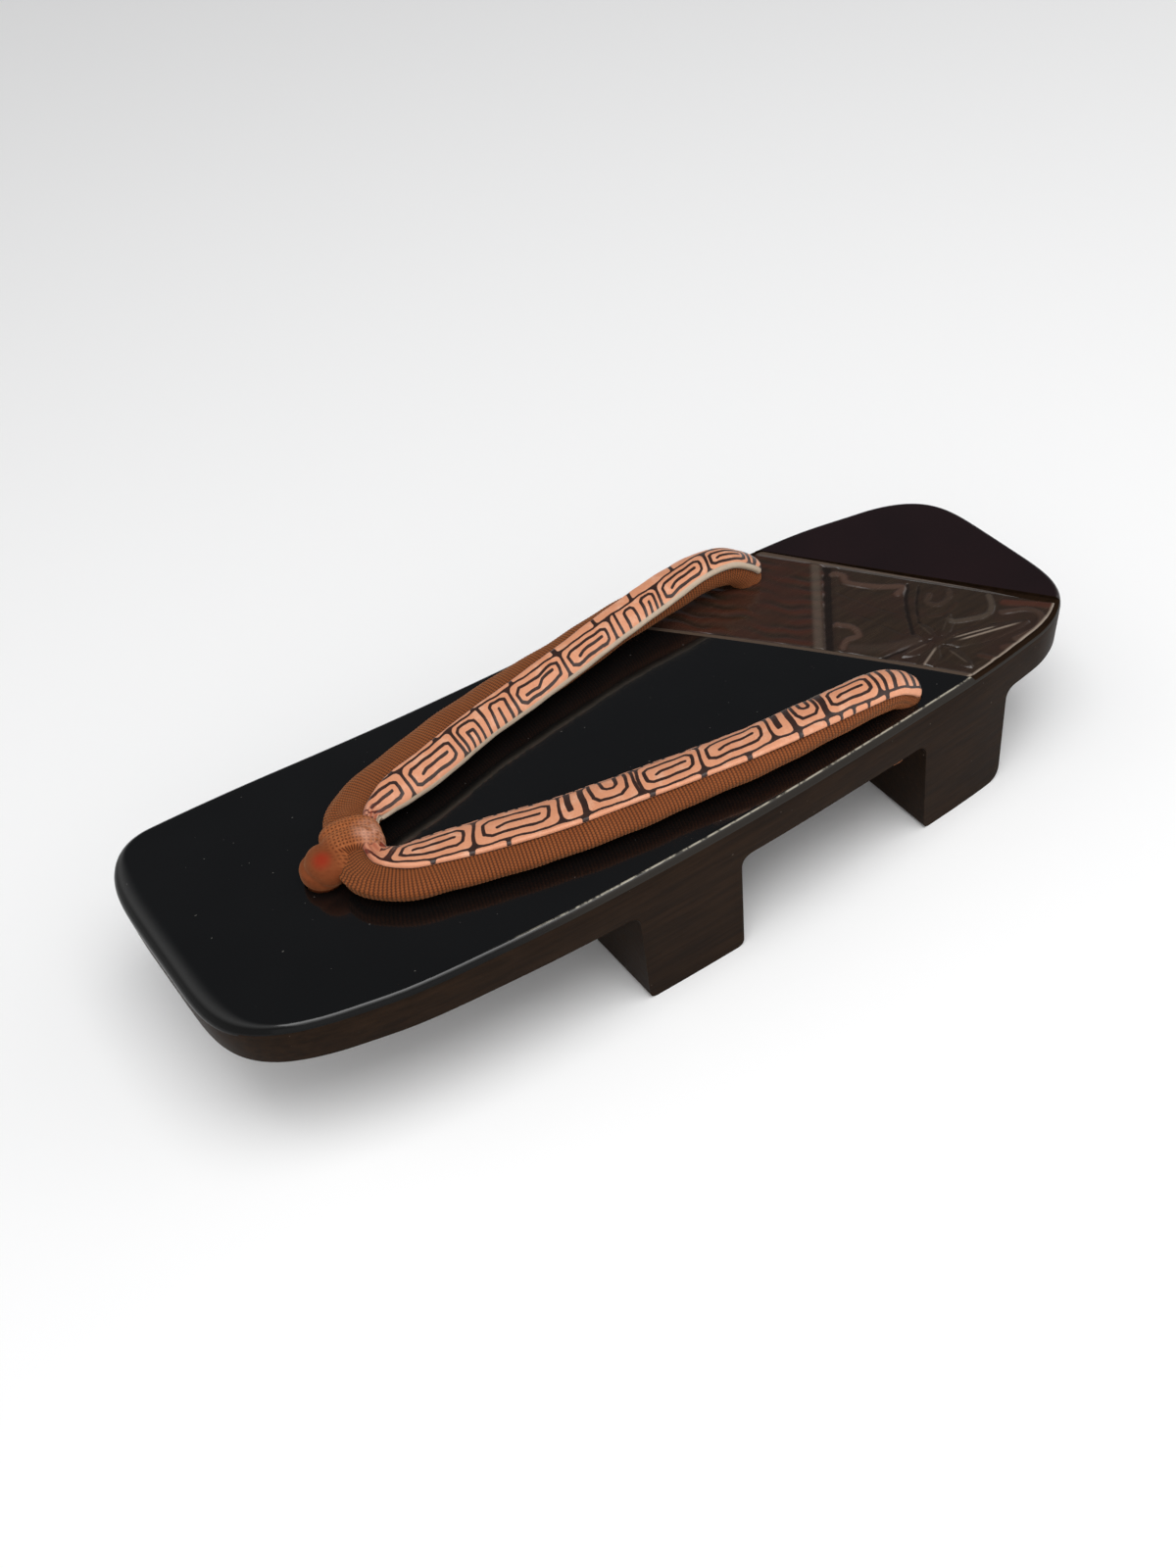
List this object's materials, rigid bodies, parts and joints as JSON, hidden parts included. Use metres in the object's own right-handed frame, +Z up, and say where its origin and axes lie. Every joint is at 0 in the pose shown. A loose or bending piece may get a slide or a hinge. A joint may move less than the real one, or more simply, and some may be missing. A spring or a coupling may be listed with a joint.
{
  "type": "geta sandal",
  "caption": "Left wooden geta sandal with cross teeth under a lacquered board, a carved diagonal band at the heel, a padded strap with a patterned facing and a woven front loop.",
  "frame": {"origin": "on the floor under the middle of the board's bounding box", "axes": "+Z up, toe towards -Y and heel towards +Y, +X towards the wearer's left, the outer side of the shoe"},
  "size_m": [0.0864, 0.235, 0.0519],
  "materials": {
    "lacquered_wood": "black lacquer, glossy on top and satin on the sides",
    "strap_weave": "ribbed brown weave",
    "printed_facing": "salmon ground with a dark line pattern",
    "loop_weave": "brown square weave"
  },
  "bodies": {
    "root": {"dai": "lacquered_wood", "hanao": "strap_weave", "facing_lateral": "printed_facing", "facing_medial": "printed_facing", "maetsubo": "loop_weave"}
  },
  "joints": []
}
